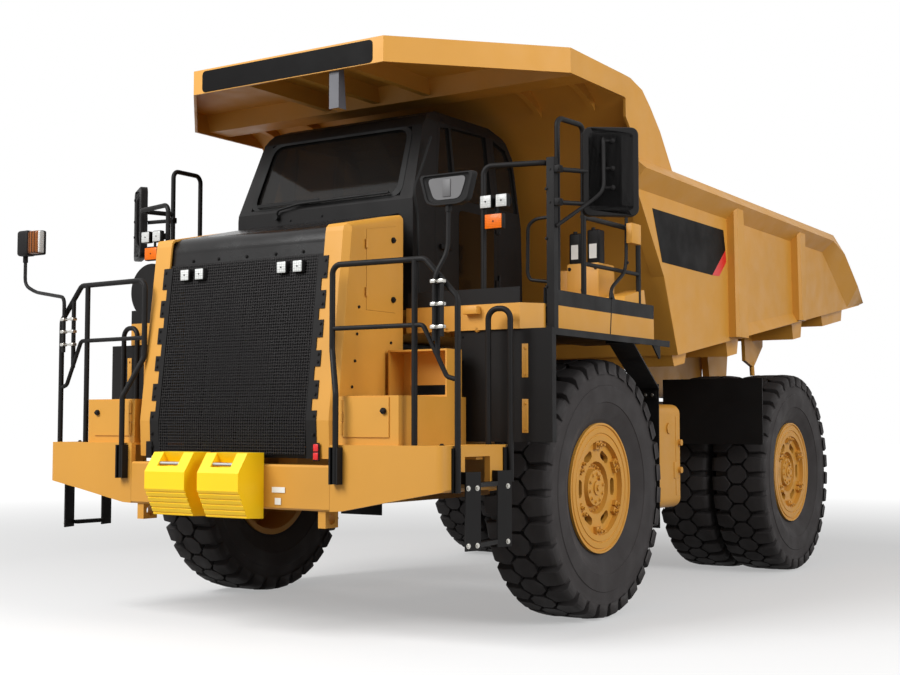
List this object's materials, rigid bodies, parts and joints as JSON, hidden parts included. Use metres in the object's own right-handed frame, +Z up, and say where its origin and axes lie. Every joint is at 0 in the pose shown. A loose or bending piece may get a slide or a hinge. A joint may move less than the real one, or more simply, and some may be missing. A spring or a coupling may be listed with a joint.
{
  "type": "mining dump truck",
  "caption": "Rigid-frame mining dump truck with a tipping body, canopy over the cab, steered front wheels and twin rear wheels.",
  "frame": {"origin": "on the ground under the middle of the whole length, on the truck's centre plane", "axes": "+Z up, the truck faces -Y, its left side is +X"},
  "size_m": [4.7725, 8.46, 4.0399],
  "materials": {
    "yellow_paint": "gloss machine yellow paint",
    "bright_yellow": "moulded bright yellow plastic",
    "black_paint": "satin black paint",
    "chassis_paint": "machine yellow paint, dusty",
    "tyre_rubber": "dark grey tyre rubber",
    "pad_rubber": "black rubber",
    "glass": "tinted cab glass",
    "lamp": "clear and amber lamp lenses",
    "steel": "bare steel",
    "chrome_rod": "hard chrome rod",
    "iron": "dark cast iron",
    "cab_trim": "dark cab trim"
  },
  "bodies": {
    "chassis": {"air_cleaner": "black_paint", "body_pads": "pad_rubber", "bonnet": "black_paint", "bumper_centre": "yellow_paint", "bumper_wings": "yellow_paint", "cab_glass": "glass", "cab_interior": "cab_trim", "cab_shell": "black_paint", "chassis_frame": "chassis_paint", "deck_centre": "yellow_paint", "deck_handrails": "black_paint", "decks": "yellow_paint", "engine_block": "iron", "front_fenders": "black_paint", "front_handrails": "black_paint", "fuel_tank": "yellow_paint", "gearbox_and_shaft": "iron", "grille": "black_paint", "hydraulic_tank": "yellow_paint", "ladders": "black_paint", "lamps": "lamp", "mirrors": "black_paint", "mudguards": "black_paint", "nose_cheeks": "yellow_paint", "radiator": "iron", "rear_axle": "chassis_paint", "step_boxes": "yellow_paint", "step_shelves": "yellow_paint", "strut_towers": "chassis_paint", "wheel_chocks": "bright_yellow"},
    "knuckle_left": {"steering_knuckle_left": "chassis_paint"},
    "knuckle_right": {"steering_knuckle_right": "chassis_paint"},
    "front_wheel_left": {"front_rim_left": "yellow_paint", "front_tyre_left": "tyre_rubber"},
    "front_wheel_right": {"front_rim_right": "yellow_paint", "front_tyre_right": "tyre_rubber"},
    "rear_wheel_left": {"rear_rim_left": "yellow_paint", "rear_tyres_left": "tyre_rubber"},
    "rear_wheel_right": {"rear_rim_right": "yellow_paint", "rear_tyres_right": "tyre_rubber"},
    "dump_body": {"body_bearers": "yellow_paint", "body_bolsters": "yellow_paint", "body_canopy": "yellow_paint", "body_ribs": "yellow_paint", "body_top_rails": "yellow_paint", "body_tub": "yellow_paint"},
    "hoist_barrel_left": {"hoist_barrel_left": "yellow_paint"},
    "hoist_barrel_right": {"hoist_barrel_right": "yellow_paint"},
    "hoist_outer_left": {"hoist_outer_sleeve_left": "steel"},
    "hoist_outer_right": {"hoist_outer_sleeve_right": "steel"},
    "hoist_inner_left": {"hoist_inner_sleeve_left": "steel"},
    "hoist_inner_right": {"hoist_inner_sleeve_right": "steel"},
    "hoist_rod_left": {"hoist_rod_left": "chrome_rod"},
    "hoist_rod_right": {"hoist_rod_right": "chrome_rod"},
    "cab_door": {"cab_door": "black_paint", "cab_door_glass": "glass"},
    "service_door_left": {"service_door_left": "yellow_paint"},
    "service_door_right": {"service_door_right": "yellow_paint"},
    "step_box_door_left": {"step_box_door_left": "yellow_paint"},
    "step_box_door_right": {"step_box_door_right": "yellow_paint"}
  },
  "joints": [
    {"name": "body_tip", "type": "hinge", "parent": "chassis", "child": "dump_body", "pos_m": [0, 3.2, 1.75], "axis": [-1, 0, 0], "range_deg": [0, 50]},
    {"name": "steer_left", "type": "hinge", "parent": "chassis", "child": "knuckle_left", "pos_m": [1, -1.9, 0.935], "axis": [0, 0, 1], "range_deg": [-36, 36]},
    {"name": "steer_right", "type": "hinge", "parent": "chassis", "child": "knuckle_right", "pos_m": [-1, -1.9, 0.935], "axis": [0, 0, 1], "range_deg": [-36, 36]},
    {"name": "front_wheel_spin_left", "type": "hinge", "parent": "knuckle_left", "child": "front_wheel_left", "pos_m": [1.55, -1.9, 0.935], "axis": [1, 0, 0], "continuous": true},
    {"name": "rear_wheel_spin_left", "type": "hinge", "parent": "chassis", "child": "rear_wheel_left", "pos_m": [1.3, 2.06, 0.935], "axis": [1, 0, 0], "continuous": true},
    {"name": "hoist_swing_left", "type": "hinge", "parent": "chassis", "child": "hoist_barrel_left", "pos_m": [0.63, 0.9, 0.75], "axis": [-1, 0, 0], "range_deg": [0, 25.54]},
    {"name": "hoist_outer_slide_left", "type": "slide", "parent": "hoist_barrel_left", "child": "hoist_outer_left", "axis": [0, -0.1624, 0.9867], "range_m": [0, 0.6637]},
    {"name": "hoist_inner_slide_left", "type": "slide", "parent": "hoist_outer_left", "child": "hoist_inner_left", "axis": [0, -0.1624, 0.9867], "range_m": [0, 0.6637]},
    {"name": "hoist_rod_slide_left", "type": "slide", "parent": "hoist_inner_left", "child": "hoist_rod_left", "axis": [0, -0.1624, 0.9867], "range_m": [0, 0.6637]},
    {"name": "front_wheel_spin_right", "type": "hinge", "parent": "knuckle_right", "child": "front_wheel_right", "pos_m": [-1.55, -1.9, 0.935], "axis": [1, 0, 0], "continuous": true},
    {"name": "rear_wheel_spin_right", "type": "hinge", "parent": "chassis", "child": "rear_wheel_right", "pos_m": [-1.3, 2.06, 0.935], "axis": [1, 0, 0], "continuous": true},
    {"name": "hoist_swing_right", "type": "hinge", "parent": "chassis", "child": "hoist_barrel_right", "pos_m": [-0.63, 0.9, 0.75], "axis": [-1, 0, 0], "range_deg": [0, 25.54]},
    {"name": "hoist_outer_slide_right", "type": "slide", "parent": "hoist_barrel_right", "child": "hoist_outer_right", "axis": [0, -0.1624, 0.9867], "range_m": [0, 0.6637]},
    {"name": "hoist_inner_slide_right", "type": "slide", "parent": "hoist_outer_right", "child": "hoist_inner_right", "axis": [0, -0.1624, 0.9867], "range_m": [0, 0.6637]},
    {"name": "hoist_rod_slide_right", "type": "slide", "parent": "hoist_inner_right", "child": "hoist_rod_right", "axis": [0, -0.1624, 0.9867], "range_m": [0, 0.6637]},
    {"name": "cab_door_swing", "type": "hinge", "parent": "chassis", "child": "cab_door", "pos_m": [0.832, -1.814, 2.68], "axis": [0, 0, 1], "range_deg": [0, 85]},
    {"name": "service_door_swing_left", "type": "hinge", "parent": "chassis", "child": "service_door_left", "pos_m": [0.895, -3.609, 2.43], "axis": [0, 0, -1], "range_deg": [0, 95]},
    {"name": "step_box_door_swing_left", "type": "hinge", "parent": "chassis", "child": "step_box_door_left", "pos_m": [0.948, -3.94, 1.44], "axis": [0, 0, -1], "range_deg": [0, 60]},
    {"name": "service_door_swing_right", "type": "hinge", "parent": "chassis", "child": "service_door_right", "pos_m": [-0.895, -3.609, 2.43], "axis": [0, 0, 1], "range_deg": [0, 95]},
    {"name": "step_box_door_swing_right", "type": "hinge", "parent": "chassis", "child": "step_box_door_right", "pos_m": [-0.948, -3.94, 1.44], "axis": [0, 0, 1], "range_deg": [0, 60]}
  ],
  "couplings": [
    {"joint": "steer_right", "follows": "steer_left", "ratio": 1},
    {"joint": "hoist_swing_left", "follows": "body_tip", "ratio": 0.50082},
    {"joint": "hoist_outer_slide_left", "follows": "body_tip", "m_per_rad": 0.75482},
    {"joint": "hoist_inner_slide_left", "follows": "body_tip", "m_per_rad": 0.75482},
    {"joint": "hoist_rod_slide_left", "follows": "body_tip", "m_per_rad": 0.75482},
    {"joint": "hoist_swing_right", "follows": "body_tip", "ratio": 0.50082},
    {"joint": "hoist_outer_slide_right", "follows": "body_tip", "m_per_rad": 0.75482},
    {"joint": "hoist_inner_slide_right", "follows": "body_tip", "m_per_rad": 0.75482},
    {"joint": "hoist_rod_slide_right", "follows": "body_tip", "m_per_rad": 0.75482}
  ]
}
